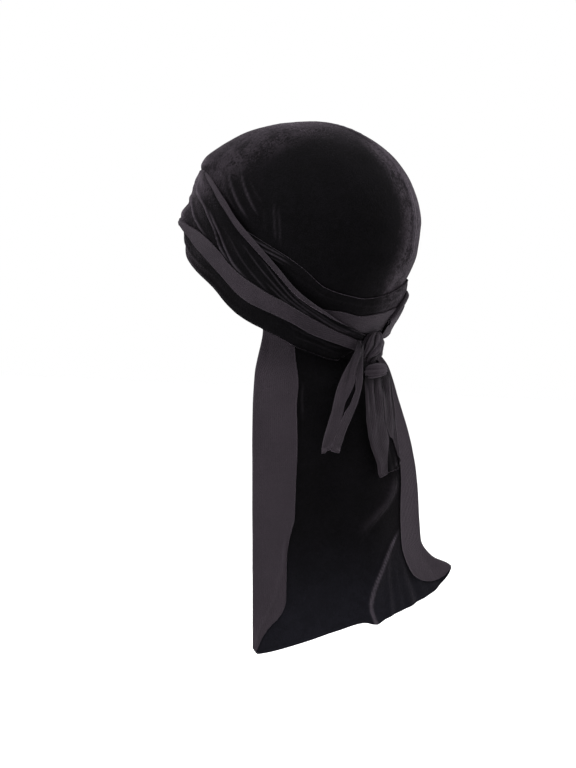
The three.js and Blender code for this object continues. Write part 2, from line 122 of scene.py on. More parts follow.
# The straps: turn 50 is the left temple. Down the list each strap runs round the back, over
# the far ear, across the forehead and back to the nape.
LEFT_STRAP = [
    # turn, lower edge, upper edge, layer at the lower edge, at the upper edge, share of the
    # step between them that is made early, share of the width turned outwards below, width
    # turned outwards above, rise of the pleats
    (50, -91, -76, 1, 1, 0, 0, 0, 0.3),
    (62, -101, -77, 1, 1, 0, 0, 0, 0.4),
    (77, -111, -81, 1, 1, 0, 0, 0, 0.7),
    (97.5, -129, -97.5, 1, 1, 0, 0.1, 0, 0.8),
    (113.5, -142, -113.5, 1, 1, 0, 0.2, 0, 0.7),
    (127.5, -151, -128.5, 1.1, 1, 0, 0.3, 0, 0.4),
    (140.5, -156, -134, 1.6, 1, 0, 0.45, 0, 0.3),
    (154.5, -160, -137, 2, 1, 0, 0.5, 0, 0.3),
    (171, -162, -134.5, 2, 1, 0, 0.54, 0, 0.3),
    (185, -160, -129, 2, 1.1, 0, 0.5, 0, 0.3),
    (200, -158, -125, 2, 1.05, 0, 0.4, 0, 0.5),
    (213, -159, -124, 2, 1.35, 0, 0.34, 0, 0.8),
    (225, -160, -124, 2, 2, 0, 0.3, 0, 0.8),
    (244, -160, -124, 2, 2, 0, 0.3, 0, 0.8),
    (258, -157, -122, 1, 1, 0, 0.28, 0, 0.7),
    (270, -150, -114, 1, 1, 0, 0.28, 0, 0.7),
    (290, -135, -103, 1, 1, 0, 0.27, 0, 0.7),
    (312, -117, -88, 1, 1, 0, 0.25, 0, 0.7),
    (327, -104, -71, 1, 1.6, 0, 0.2, 0, 0.7),
    (335, -98, -58, 1.8, 2, 0, 0.15, 0, 0.9),
    (348, -92, -50, 2, 2, 0, 0.13, 0.6, 1.3),
    (360, -88, -43, 2, 2, 0, 0.13, 1, 1.3),
    (375, -83, -38, 2.9, 1.5, 0.3, 0.15, 0.5, 1.1),
    (385, -82, -37.2, 3.3, 1.1, 0.8, 0.1, 0, 0.8),
    (394, -82.5, -37, 3.3, 1.05, 1, 0.08, 0.4, 0.5),
    (401, -87, -38.5, 2.8, 1.1, 0.8, 0.12, 1.1, 0.4),
    (408, -93.5, -41, 2, 1.1, 0, 0.19, 1.6, 0.4),
    (420, -105, -49.5, 2, 1, 0, 0.28, 2.8, 0.4),
    (431.5, -119, -62, 2.1, 1.2, 0, 0.31, 5.2, 0.4),
    (440, -131, -76.5, 2.4, 1.6, 0, 0.32, 5.6, 0.4),
    (448, -140, -90, 2.4, 2, 0, 0.32, 4.8, 0.3),
    (460, -147, -110.5, 2.4, 2, 0, 0.36, 4, 0.3),
    (472, -153.5, -129, 2.5, 2.2, 0, 0.46, 3, 0.3),
    (483.5, -161, -140, 2.5, 2.8, 0, 0.52, 2.2, 0.3),
    (500, -168.5, -152, 2.3, 3, 0, 0.58, 1.6, 0.3),
    (525.3, -178, -163.5, 2.5, 3.1, 0, 0.55, 0.8, 0.4),
]
RIGHT_STRAP = [
    (305, -89, -74, 1, 1, 0, 0, 0, 0.3),
    (290, -100, -76, 1, 1, 0, 0, 0, 0.4),
    (270, -111, -88, 1, 1, 0, 0, 0, 0.7),
    (250, -121, -101, 1, 1, 0, 0.1, 0, 0.7),
    (225, -143, -120, 1, 1, 0, 0.2, 0, 0.7),
    (200, -164, -141, 1, 1, 0, 0.25, 0, 0.7),
    (185, -172, -151, 1, 1, 0, 0.2, 0, 0.7),
    (165, -180, -161, 1, 1, 0, 0.01, 0, 0.6),
    (156, -183.5, -163.5, 1, 1, 0, 0.01, 0, 0.6),
    (149.5, -185.5, -165, 1.1, 1, 0, 0.06, 0, 0.5),
    (127, -179, -156, 1.3, 1.1, 0, 0.065, 0, 0.5),
    (114.5, -173, -147, 1.4, 1.2, 0, 0.045, 0, 0.4),
    (104, -167, -137, 1.4, 1.2, 0, 0, 0, 0.4),
    (91, -160, -126, 1.4, 1.2, 0, 0, 0, 0.4),
    (77, -149, -115, 1.2, 1, 0, 0, 0, 0.5),
    (62, -128.5, -105, 1, 1, 0, 0, 0, 0.6),
    (47.5, -116.5, -94, 1, 1.1, 0.6, 0, 0, 0.6),
    (33, -107, -76, 1, 2.05, 1, 0, 0, 0.6),
    (25, -102, -69.5, 1, 1.75, 1, 0, 0, 0.6),
    (15, -96, -62, 1, 1.2, 1, 0.04, 0, 0.7),
    (0, -86, -48, 1, 1, 0, 0.06, 0, 0.8),
    (-12, -72, -36, 1, 1, 0, 0.08, 0, 0.8),
    (-25, -56, -28, 1.1, 1, 0, 0.1, 0, 0.8),
    (-40, -76, -34, 1.8, 1, 0, 0.15, 1, 0.9),
    (-54, -99, -44, 2, 1, 0, 0.25, 2.4, 0.8),
    (-71.5, -119, -62, 2, 1.2, 0, 0.31, 4.6, 0.6),
    (-80, -131, -76.5, 2.1, 1.6, 0, 0.32, 5, 0.6),
    (-88, -140, -90, 2.2, 2, 0, 0.32, 4.6, 0.6),
    (-98, -147, -106, 2.2, 2.4, 0, 0.36, 4, 0.6),
    (-108, -152, -120, 3, 3, 0, 0.46, 3, 0.6),
    (-125, -158, -130, 3, 2.9, 0, 0.55, 2.4, 0.5),
    (-144, -162, -132, 3, 2.3, 0, 0.66, 1.4, 0.4),
    (-158, -165.5, -134, 3, 2.3, 0, 0.74, 3.6, 0.4),
    (-168, -167, -139, 3, 2.5, 0, 0.7, 6, 0.4),
    (-176.5, -166.5, -151, 3, 2.8, 0, 0.66, 3, 0.4),
]
STRAP_STEP = 1.2         # degrees of turn between two sections
STRAP_COLUMNS = (16, 7, 68)   # in each turned part, in each bend, in the flat part
TURNED_MOST = 0.3        # the upper edge is turned by no more than this share of the width
SOFT_PLEATS = (0.16, 0.4, 0.62, 0.84)   # where low ones run along, as shares of the width
SOFT_PLEAT_SHARE = 0.085      # half width of one, as a share of the strap's
SOFT_PLEAT_MOST = 2.4         # and in mm at most

# Pleats that run slantwise across a strap, by turn and share of its width
LEFT_PLEATS = [
    # rise, half width, (turn, share) from one end to the other
    (1.9, 1.9, [(396, 0.72), (404, 0.67), (412, 0.66), (419, 0.63), (426, 0.535), (432, 0.36),
                (436, 0.32)]),
    (1.4, 1.6, [(390, 0.46), (399, 0.4), (412, 0.34), (420, 0.3)]),
    (1.2, 2.0, [(424, 0.64), (430, 0.54), (435, 0.43), (440, 0.35), (445, 0.32)]),
    (0.6, 1.6, [(438, 0.64), (444, 0.54), (451, 0.44), (457, 0.38)]),
    (0.7, 1.1, [(446, 0.76), (456, 0.64), (468, 0.57), (482, 0.56)]),
    (0.65, 1.0, [(458, 0.5), (466, 0.47), (474, 0.48)]),
    (0.75, 1.0, [(456, 0.82), (464, 0.74), (476, 0.68), (492, 0.68), (506, 0.72)]),
    (0.6, 0.9, [(470, 0.82), (480, 0.79), (496, 0.79), (512, 0.84)]),
    (0.9, 0.8, [(86, 0.88), (92, 0.91), (98, 0.93), (104, 0.95)]),
    (0.9, 0.8, [(86, 0.76), (92, 0.8), (98, 0.84), (106, 0.87)]),
    (0.7, 0.8, [(84, 0.66), (92, 0.71), (98, 0.75), (104, 0.78)]),
    (0.3, 1.2, [(120, 0.72), (140, 0.76), (160, 0.78), (186, 0.76)]),
]
RIGHT_PLEATS = [
    (1.3, 1.8, [(-46, 0.8), (-58, 0.7), (-70, 0.52), (-80, 0.36)]),
    (1.1, 1.6, [(-38, 0.6), (-50, 0.48), (-62, 0.32)]),
    (1.0, 1.5, [(-70, 0.76), (-82, 0.62), (-96, 0.5)]),
    (0.8, 1.1, [(-84, 0.8), (-98, 0.72), (-118, 0.7), (-140, 0.76)]),
    (0.4, 1.0, [(152, 0.24), (140, 0.34), (128, 0.36), (116, 0.3)]),
    (0.4, 1.1, [(158, 0.46), (144, 0.52), (128, 0.56), (112, 0.5)]),
]

TAIL_STATIONS = [0, 0.3, 0.55, 0.75, 1]   # shares of its width, from the left edge
TAIL_NAPE = [
    # station, turn at the top, turn at the straps' lower edge, height there
    (0, 91, 91, -162),
    (0.3, 127, 126, -179),
    (0.55, 155, 153, -186),
    (0.75, 182, 177, -186),
    (1, 226, 206, -178),
]
TAIL_LEVELS = [
    # height, x at each station, y at each station
    (-197, (77.5, 53.5, 28, 3, -23), (-9, 28, 44, 51.5, 57)),
    (-223, (81, 55, 30, 3, -25.5), (-9, 22, 44, 56, 65.2)),
    (-261, (82, 54.5, 31, 6, -30), (-9, 20, 43, 61, 75)),
    (-296, (82, 54, 31, 9, -33), (-9, 19, 42, 63, 79.2)),
    (-336, (82, 54, 31, 11, -36.5), (-9, 19, 42, 63, 80.5)),
    (-386, (82, 54, 31, 12, -65), (-9, 19, 42, 64.5, 97)),
]
TAIL_HEM = [
    # station, height
    (0, -417.5), (0.1, -416.2), (0.3, -410.8), (0.55, -402.2), (0.7, -397.2),
    (0.745, -398.8), (0.79, -395), (0.88, -387.5), (0.94, -380), (1, -366.5),
]
TAIL_TURNS = [
    # share of the way down, share of the width turned outwards on the left, on the right
    (0, 0.2, 0.05),
    (0.25, 0.2, 0.06),
    (0.363, 0.212, 0.08),
    (0.475, 0.247, 0.09),
    (0.61, 0.266, 0.095),
    (0.7, 0.262, 0.1),
    (0.8, 0.254, 0.11),
    (0.853, 0.222, 0.112),
    (0.89, 0.206, 0.108),
    (0.945, 0.2, 0.094),
    (0.96, 0.165, 0.082),
    (0.972, 0.09, 0.064),
    (0.986, 0.04, 0.034),
    (0.995, 0.02, 0.012),
    (1, 0.014, 0.004),
]
# Lines down the tail: share of the way down, share of the width
TAIL_CREASE = [(0.84, 0.89), (0.905, 0.805), (0.955, 0.735), (0.972, 0.725), (1, 0.75)]
TAIL_FOLD = [
    (0.7, 0.856), (0.738, 0.845), (0.765, 0.82), (0.815, 0.73), (0.86, 0.655), (0.9, 0.62),
]
TAIL_SIDE_FOLD = [(0.4, 0.25), (0.45, 0.268), (0.52, 0.295), (0.6, 0.3)]
TAIL_BAND_LINE = [
    (0.8, 0.2), (0.87, 0.187), (0.9, 0.175), (0.933, 0.135), (0.958, 0.075), (0.975, 0.015),
]
TAIL_CREASE_RISE = 3.2
TAIL_FOLD_RISE = 2.2
TAIL_SIDE_RISE = 0.8
TAIL_WIDTH = 150.0
TAIL_ROWS = 220
TAIL_COLUMNS = (24, 7, 132)
TAIL_GAP = 0.3           # from the crown's hem down to its top edge
TAIL_LIFT = 0.3          # off the head form, where it comes out under the straps
TAIL_CORNER = 0.035      # each lower corner is rounded over this share of the width
TAIL_CORNER_RISE = 5.5   # and by this much
TAIL_STEP = 0.01         # share to either side, over which its slope is measured

# The knot and the turn of strap below it: centre, half size along X, Y and Z
KNOT_CENTRE = (8.8, 60, -177.5)
KNOT_HALF = (15.5, 7.2, 13)
KNOT_LEAN = 0.16         # its top leans backwards by this share of the height
KNOT_GRID = (120, 240)   # rows from top to bottom, columns round it
LOOP_CENTRE = (7.5, 62, -196)
LOOP_HALF = (12.4, 7.8, 5.6)
LOOP_GRID = (90, 200)
POLE = 0.02              # radians from the top and bottom at which the rows start and end

LEFT_END = [
    # share of its length, x, y, z, half width, left turn, right turn (share of the width)
    (0, 25.6, 56, -171.5, 1.8, 0.52, 0.44),
    (0.06, 28.4, 57, -178, 2.8, 0.54, 0.42),
    (0.13, 31.2, 56.2, -186, 4.7, 0.58, 0.4),
    (0.22, 33.6, 54.6, -193, 6.9, 0.62, 0.36),
    (0.32, 35.3, 53.4, -202, 8.9, 0.62, 0.32),
    (0.42, 37.3, 51.9, -211, 9.8, 0.54, 0.25),
    (0.52, 39.5, 50.1, -220, 9.6, 0.44, 0.3),
    (0.6, 41.2, 48.6, -227, 9, 0.47, 0.42),
    (0.72, 44, 46.4, -236, 8.4, 0.5, 0.48),
    (0.86, 47.6, 43.8, -247, 7.9, 0.5, 0.48),
    (1, 50.2, 41.6, -257.5, 6.8, 0.5, 0.48),
]
RIGHT_END = [
    (0, 7.2, 62.5, -197.5, 11, 0.6, 0.37),
    (0.1, 7.2, 63, -206, 13.4, 0.6, 0.38),
    (0.3, 7, 64.5, -224, 14.6, 0.54, 0.44),
    (0.58, 6, 66.5, -247.5, 14.8, 0.64, 0.33),
    (0.63, 5.4, 67, -251, 14.4, 0.65, 0.2),
    (0.72, 4.2, 68.4, -259, 13.4, 0.52, 0.14),
    (0.85, 2.6, 70, -270, 11.8, 0.38, 0.06),
    (1, 2.4, 71, -279, 10.6, 0.3, 0.02),
]
LEFT_END_FACING = 43     # degrees that each end faces away from +Y
RIGHT_END_FACING = 22
# How far the last row drops on the left, in the middle and on the right, and how much it curls
LEFT_END_TIP = (2.2, -2.4, 2, 2)
RIGHT_END_TIP = (1.5, -2.6, -4, 0.5)
END_ROWS = 120
END_COLUMNS = (26, 8, 40)


# ---------------- numbers
def ease(value, start, end):
    """From 0 at start to 1 at end, smoothly."""
    t = np.clip((np.asarray(value, float) - start) / (end - start), 0, 1)
    return t * t * (3 - 2 * t)


def bell(distance, half_width):
    """1 at no distance, fading to either side."""
    return np.exp(-((distance / half_width) ** 2))


def smooth(keys, values):
    """A curve through values at rising keys, without overshoot."""
    keys = np.asarray(keys, float)
    values = np.asarray(values, float)
    spread = (...,) + (None,) * (values.ndim - 1)
    steep = np.diff(values, axis=0) / np.diff(keys)[spread]
    slope = np.zeros_like(values)
    slope[0], slope[-1] = steep[0], steep[-1]
    before, after = steep[:-1], steep[1:]
    same = before * after > 0
    slope[1:-1] = np.where(same, 2 * before * after / np.where(same, before + after, 1), 0)

    def read(where):
        key = np.clip(np.asarray(where, float), keys[0], keys[-1])
        i = np.clip(np.searchsorted(keys, key, side="right") - 1, 0, len(keys) - 2)
        span = (keys[i + 1] - keys[i])[spread]
        t = (key - keys[i])[spread] / span
        start = (2 * t**3 - 3 * t**2 + 1) * values[i] + (t**3 - 2 * t**2 + t) * span * slope[i]
        end = (3 * t**2 - 2 * t**3) * values[i + 1] + (t**3 - t**2) * span * slope[i + 1]
        return start + end

    return read


def along(rows):
    """The other columns of a table, read smoothly by its first one."""
    table = np.array(sorted(rows), float)
    return smooth(table[:, 0], table[:, 1:])


def unit(vectors):
    """Vectors of length 1 that point the same way."""
    return vectors / np.maximum(np.linalg.norm(vectors, axis=-1, keepdims=True), 1e-9)


def wander(place, size, seed):
    """A soft, fixed unevenness from -1 to 1 at places in mm, with swells about size mm wide."""
    total = np.zeros(place.shape[:-1])
    # seven waves, each with its own way and length
    for i in range(7):
        angle = seed * 1.7 + i * 2.399
        tilt = math.sin(seed * 2.3 + i * 1.13)
        flat = math.sqrt(1 - tilt * tilt)
        way = np.array([flat * math.cos(angle), flat * math.sin(angle), tilt])
        total += np.sin(place @ way * (2 * math.pi / size) * (0.7 + 0.13 * i) + seed + 4.1 * i)
    return total / 4


# ---------------- head form
head_section = along(HEAD_SECTIONS)
brow_rise = along(BROW)


def height_at(drop):
    """The height at a drop angle."""
    dome = WIDEST - WIDEST * np.cos(np.radians(np.minimum(drop, 90)))
    return np.where(drop > 90, WIDEST - (drop - 90) * DROP_PER_DEGREE, dome)


def drop_at(height):
    """The drop angle at a height."""
    dome = np.degrees(np.arccos(np.clip(1 - height / WIDEST, 0, 1)))
    return np.where(height < WIDEST, 90 + (WIDEST - height) / DROP_PER_DEGREE, dome)


def head_point(turn, drop):
    """The point of the head form at a turn and a drop."""
    turn, drop = np.broadcast_arrays(np.asarray(turn, float), np.asarray(drop, float))
    height = height_at(drop)
    front, side, back = np.moveaxis(head_section(np.minimum(height, WIDEST)), -1, 0)
    forward = np.cos(np.radians(turn))
    power = DOME_POWER + DOME_SWING * forward
    dome = np.radians(np.minimum(drop, 90))
    inward = (1 - np.abs(np.cos(dome)) ** power) ** (1 / power)
    length = np.where(forward > 0, front, back)
    ahead = TOP_BACK * np.sin(dome) ** 2
    near_brow = ease(np.cos(np.radians(turn - BROW_TURN)), math.cos(math.radians(BROW_REACH)), 1)
    brow = brow_rise(height)[..., 0] * near_brow
    x = (side * inward + brow) * np.sin(np.radians(turn))
    return np.stack([x, -(length * inward + brow) * forward - ahead, height], -1)


def head_out(turn, drop):
    """The way straight out of the head."""
    low = np.maximum(drop, 1.0)
    across = head_point(turn + SLOPE_STEP, low) - head_point(turn - SLOPE_STEP, low)
    down = head_point(turn, low + SLOPE_STEP) - head_point(turn, low - SLOPE_STEP)
    return unit(np.cross(down, across))


def off_head(turn, drop, lift):
    """The point that is lifted off the head form by so much."""
    turn, drop, lift = np.broadcast_arrays(turn, drop, lift)
    return head_point(turn, drop) + head_out(turn, drop) * lift[..., None]


# ---------------- cloth
def linked(name, data):
    """An object of the scene."""
    made = bpy.data.objects.new(name, data)
    bpy.context.scene.collection.objects.link(made)
    return made


def new_object(name, points, faces, slots, slot_of_face, ridge, uv=None):
    """A smooth mesh of points in mm, with a ridge value at each point and a map of the cloth."""
    mesh = bpy.data.meshes.new(name)
    mesh.from_pydata((points * MM).tolist(), [], faces)
    for finish in slots:
        mesh.materials.append(finish)
    mesh.polygons.foreach_set("material_index", slot_of_face)
    mesh.shade_smooth()
    if uv is not None:
        layer = mesh.uv_layers.new(name="cloth")
        corners = np.empty(len(mesh.loops), int)
        mesh.loops.foreach_get("vertex_index", corners)
        layer.data.foreach_set("uv", (uv[corners] * MM).ravel())
    mesh.attributes.new("ridge", "FLOAT", "POINT").data.foreach_set("value", ridge)
    mesh.validate()
    mesh.update()
    return linked(name, mesh)


def cloth(name, middle, out, ridge):
    """A sheet of cloth round a grid of middle points, with velvet on the side that out points
    to at the middle of the grid, knitted back on the other, and rounded raw edges. Where the
    ridge value is near 1, a highlight is painted along a fold; below 0 it is darkened, with
    painted shade in crumples and valleys, and evenly over the free ends as well."""
    rows, columns = middle.shape[:2]
    normal = unit(np.cross(np.gradient(middle, axis=0), np.gradient(middle, axis=1)))
    flipped = (normal * out).sum(-1).mean() < 0
    if flipped:
        normal = -normal
    half = normal * CLOTH / 2
    front, back = middle + half, middle - half
    count = rows * columns
    index = np.arange(count).reshape(rows, columns)
    a, b = index[:-1, :-1], index[1:, :-1]
    c, d = index[1:, 1:], index[:-1, 1:]
    ring = (a, d, c, b) if flipped else (a, b, c, d)
    face = np.stack(ring, -1).reshape(-1, 4)
    faces = [face, face[:, ::-1] + count]

    edge = np.concatenate([index[0, :-1], index[:-1, -1], index[-1, :0:-1], index[:0:-1, 0]])
    inner = np.concatenate([index[1, :-1], index[:-1, -2], index[-2, :0:-1], index[:0:-1, 1]])
    flat = middle.reshape(-1, 3)
    beyond = flat[edge] + unit(flat[edge] - flat[inner]) * CLOTH * EDGE_BULGE
    n = len(edge)
    lip = 2 * count + np.arange(n)
    after = np.roll(np.arange(n), -1)
    outer_lip = np.stack([edge, edge[after], lip[after], lip], -1)
    inner_lip = np.stack([lip, lip[after], edge[after] + count, edge + count], -1)
    if not flipped:
        outer_lip, inner_lip = outer_lip[:, ::-1], inner_lip[:, ::-1]
    faces += [outer_lip, inner_lip]
    slot_of_face = np.repeat([0, 1, 0, 0], [len(part) for part in faces])

    # the map follows the cloth: u from the middle column, v from the first row
    step_across = np.linalg.norm(np.diff(middle, axis=1), axis=-1)
    step_down = np.linalg.norm(np.diff(middle, axis=0), axis=-1)
    u = np.concatenate([np.zeros((rows, 1)), np.cumsum(step_across, 1)], 1)
    u = u - u[:, columns // 2 : columns // 2 + 1]
    v = np.concatenate([np.zeros((1, 1)), np.cumsum(step_down.mean(1))[:, None]], 0)
    uv = np.stack([u, np.broadcast_to(v, u.shape)], -1).reshape(-1, 2)
    painted_light = np.clip(ridge, -1, 1).reshape(-1)
    return new_object(
        name,
        np.concatenate([front.reshape(-1, 3), back.reshape(-1, 3), beyond]),
        np.concatenate(faces).tolist(),
        (VELVET, KNIT),
        slot_of_face,
        np.concatenate([painted_light, painted_light, painted_light[edge]]),
        np.concatenate([uv, uv, uv[edge]]),
    )


def turned_section(width, low_turn, up_turn, counts, up_radius=FOLD_RADIUS):
    """Across a strip with both edges turned outwards: where each column lies from the lower
    edge, where the flat layer under it is, and its lift above that layer. The columns run from
    the upper edge to the lower one. The widths are columns of one value a row; counts are the
    columns of each part. An edge that is turned by less than CURL_END only curls, or ends flat
    if it isn't turned at all."""
    turned, bend, flat = counts
    angles = np.linspace(0, 1, bend)[None, 1:]
    lengths = np.linspace(0, 1, turned)[None, 1:]

    def edge(turn, radius):
        radius = np.minimum(radius, width / 6)
        curl = ease(turn, CURL_START, CURL_END)
        swing = math.pi * curl
        bent = swing * angles
        inset, rise = radius * (1 - np.sin(bent)), radius * (1 - np.cos(bent))
        run = np.maximum(turn - radius * curl, radius) * lengths
        beyond = inset[:, -1:] - np.cos(swing) * run
        above = rise[:, -1:] + np.sin(swing) * run
        above = above - curl * (2 * radius - PLY) * (1 - np.exp(-run / FOLD_EASE))
        place = np.concatenate([inset, beyond], axis=1)
        return place, np.maximum(place, radius), np.concatenate([rise, above], axis=1)

    low, low_under, low_lift = edge(low_turn, FOLD_RADIUS)
    up, up_under, up_lift = edge(up_turn, up_radius)
    first, last = low_under[:, :1], width - up_under[:, :1]
    middle = last - (last - first) * np.linspace(0, 1, flat)[None, :]
    return [
        np.concatenate([width - up[:, ::-1], middle, low], axis=1),
        np.concatenate([width - up_under[:, ::-1], middle, low_under], axis=1),
        np.concatenate([up_lift[:, ::-1], 0 * middle, low_lift], axis=1),
    ]


def straps_top():
    """Where the straps' highest edge lies at each degree of turn."""
    turns = np.arange(0, 361)
    top = np.full(len(turns), -np.inf)
    for table in (LEFT_STRAP, RIGHT_STRAP):
        wound = np.arange(min(table)[0], max(table)[0] + 1)
        high = along(table)(wound)[:, 1]
        np.maximum.at(top, (np.round(wound) % 360).astype(int), high)
    top[-1] = top[0]
    return smooth(turns, top[:, None])


crown_hem = along(CROWN_HEM)


def crown_panel(name, side):
    """Half of the crown, the left one for side 1 and the right one for side -1. Its rows run
    from the front to the back, its columns from the seam down to the hem."""
    # It is laid out on a flat map, where the distance from the top is the drop
    turns = np.linspace(0, 180, 721)
    reach = drop_at(crown_hem(turns)[:, 0])
    hem_behind = -reach * np.cos(np.radians(turns))
    hem_beside = reach * np.sin(np.radians(turns))
    lengthways = -np.cos(math.pi * np.linspace(CROWN_END, 1 - CROWN_END, CROWN_ROWS))
    front, back = hem_behind[0], hem_behind[-1]
    spot = (front + back) / 2 + (back - front) / 2 * lengthways
    share = np.linspace(0, 1, CROWN_COLUMNS) ** CROWDING
    beside = np.interp(spot, hem_behind, hem_beside)[:, None] * share[None, :]
    behind = np.broadcast_to(spot[:, None], beside.shape)
    turn = np.degrees(np.arctan2(beside, -behind))
    drop = np.hypot(beside, behind)
    bare = head_point(turn, drop)
    height, x = bare[..., 2], bare[..., 0]
    lowest = np.where(turn < 90, SEAM_FRONT, SEAM_BACK)
    seam = ease(height, lowest, lowest + SEAM_FADE)
    lengthwise = np.hypot(bare[..., 1], height)
    pucker = SEAM_PUCKER * np.sin(lengthwise * 1.15 + 1.3 * np.sin(lengthwise * 0.31))
    relief = seam * (
        SEAM_RISE * bell(x, SEAM_REACH)
        - SEAM_GROOVE * bell(x, GROOVE_REACH)
        + pucker * bell(x - PUCKER_OFF, PUCKER_REACH)
    )
    # painted highlight along the seam's ridge, and in the loop below along each fold
    painted_light = 0.5 * seam * bell(x - 1.5, 1.5)
    for top_turn, foot_turn, top, foot, rise, half in CROWN_FOLDS:
        down = (top - height) / (top - foot)
        middle = top_turn + (foot_turn - top_turn) * down
        fade = ease(down, -0.15, 0.35) * (1 - ease(down, 0.85, 1.2))
        off = (turn - middle) * MM_PER_DEGREE
        relief = relief + rise * fade * bell(off, half)
        painted_light = np.maximum(painted_light, 0.5 * rise * fade * bell(off, half * 0.7))
    # the cloth is slack between its folds, held at the seam, and lies flat under the straps
    soft = 0.4 * wander(bare, 52, 1.3 + side) + 0.14 * wander(bare, 19, 2.1 + side)
    free = ease(height - straps_top()(side * turn % 360)[..., 0], -4, 1)
    relief = (relief + soft * ease(x, 0, SEAM_HOLD)) * free
    out = head_out(side * turn, drop)
    point = head_point(side * turn, drop) + out * (CLOTH / 2 + CROWN_LIFT + relief)[..., None]
    point[..., 0] = side * np.maximum(side * point[..., 0], SEAM_GAP)
    return cloth(name, point, out, painted_light)


def strap(name, table, pleats, seed):
    """A strap wound round the head: rows run along it, columns from its upper edge down. The
    seed shifts what is uneven in it."""
    read = along(table)
    start, end = table[0][0], table[-1][0]
    turns = np.linspace(start, end, int(abs(end - start) / STRAP_STEP) + 1)
    low, high, low_layer, high_layer, early, roll, up_turn, rise = read(turns).T[..., None]
    width = high - low
    ragged = 1 + 0.025 * np.sin(turns * 0.11 + seed) + 0.015 * np.sin(turns * 0.31 + 2 * seed)
    low_turn = roll * width * ragged[:, None]
    up_turn = np.minimum(up_turn * ragged[:, None], width * TURNED_MOST)
    loose = ease(up_turn, 1, 4) * (ROLL_RADIUS - FOLD_RADIUS) + FOLD_RADIUS
    from_edge, flat, extra = turned_section(width, low_turn, up_turn, STRAP_COLUMNS, loose)
    share = flat / width
    turn = np.broadcast_to(turns[:, None], share.shape)
    inner = low_turn / width
    above_fold = (share - inner) / (1 - inner)
    relief = 0 * share
    painted_light = 0 * share
    for k, centre in enumerate(SOFT_PLEATS):
        drift = 0.05 * np.sin(turn * 0.045 + 2.1 * k + seed)
        swell = 0.6 + 0.4 * np.sin(turn * 0.083 + 1.7 * k + seed)
        half = np.minimum(SOFT_PLEAT_SHARE * (1 - inner) * width, SOFT_PLEAT_MOST)
        gap = (above_fold - centre - drift) * (1 - inner) * width
        relief = relief + np.minimum(rise * swell, half * 1.3) * bell(gap, half)
        # a faint painted highlight runs along each soft pleat
        painted_light = painted_light + 0.08 * np.minimum(rise, 1) * swell * bell(gap, half * 0.7)
    for pleat_rise, half, line in pleats:
        middle = along(line)(turn)[..., 0]
        first, last = min(line)[0], max(line)[0]
        fade = ease(turn, first - 7, first + 4) * (1 - ease(turn, last - 5, last + 5))
        # a pleat is steep on its lower side and gentle on its upper side
        off = (share - middle) * width
        side = np.where(off > 0, half * 1.5, half * 0.75)
        relief = relief + pleat_rise * fade * bell(off, side)
        # a painted highlight along the pleat's crest
        glow = min(pleat_rise, 1) ** 1.5 * fade * bell(off - 0.2 * half, half * 0.7)
        painted_light = np.maximum(painted_light, 0.62 * glow)
    # the lower turned part lies nearly flat, and so does the cloth under it
    clear = ease(share, inner - 0.1, inner + 0.05)
    relief = relief * (0.1 + 0.9 * clear)
    step = (1 - early) * share**3 + early * ease(share, 0.12, 0.6)
    layer = low_layer + (high_layer - low_layer) * step
    base = FIRST_LIFT + (layer - 1) * LAYER_RISE + CLOTH / 2
    tuck = CUT_TUCK * (1 - ease(up_turn, 0.3, 1.5)) + HIGH_TUCK * ease(high_layer, 1.5, 2)
    base = base - tuck * ease(share, TUCK_START, 1)
    drop = drop_at(low + from_edge)
    bare = head_point(turn, drop)
    relief = relief + 0.16 * wander(bare, 24, seed) + 0.07 * wander(bare, 9, seed + 3)
    point = off_head(turn, drop, base + relief + extra)
    return cloth(name, point, head_out(turn, drop) * (extra < TURNED)[..., None], painted_light)


# ---------------- tail
tail_hem = along(TAIL_HEM)
tail_nape = along(TAIL_NAPE)


def tail_strands(share):
    """Strands down the tail at those shares of its width, read by the share of the way down."""
    top_turn, edge_turn, edge_height = tail_nape(share).T
    top_height = crown_hem(np.minimum(top_turn, 360 - top_turn))[:, 0] - TAIL_GAP
    places = []
    for part in (0, 0.5, 1):
        height = top_height + (edge_height - top_height) * part
        turn = top_turn + (edge_turn - top_turn) * part
        places.append(off_head(turn, drop_at(height), np.full(len(share), TAIL_LIFT * part)))
    for i, (height, x, y) in enumerate(TAIL_LEVELS):
        across = smooth(TAIL_STATIONS, np.array([x, y], float).T)(share)
        last = i == len(TAIL_LEVELS) - 1
        z = tail_hem(share)[:, 0] if last else np.full(len(share), float(height))
        places.append(np.concatenate([across, z[:, None]], axis=1))
    return smooth(np.linspace(0, 1, len(places)), np.array(places))


def tail_plan(share, down):
    """Points of the tail's inner side, for one row of shares at each step down."""
    return np.array([tail_strands(row)(step) for row, step in zip(share, down)])


def tail_line(rows, down, share):
    """How far to the right of a line down the tail, as a share of its width."""
    return share - along(rows)(down)[..., 0]


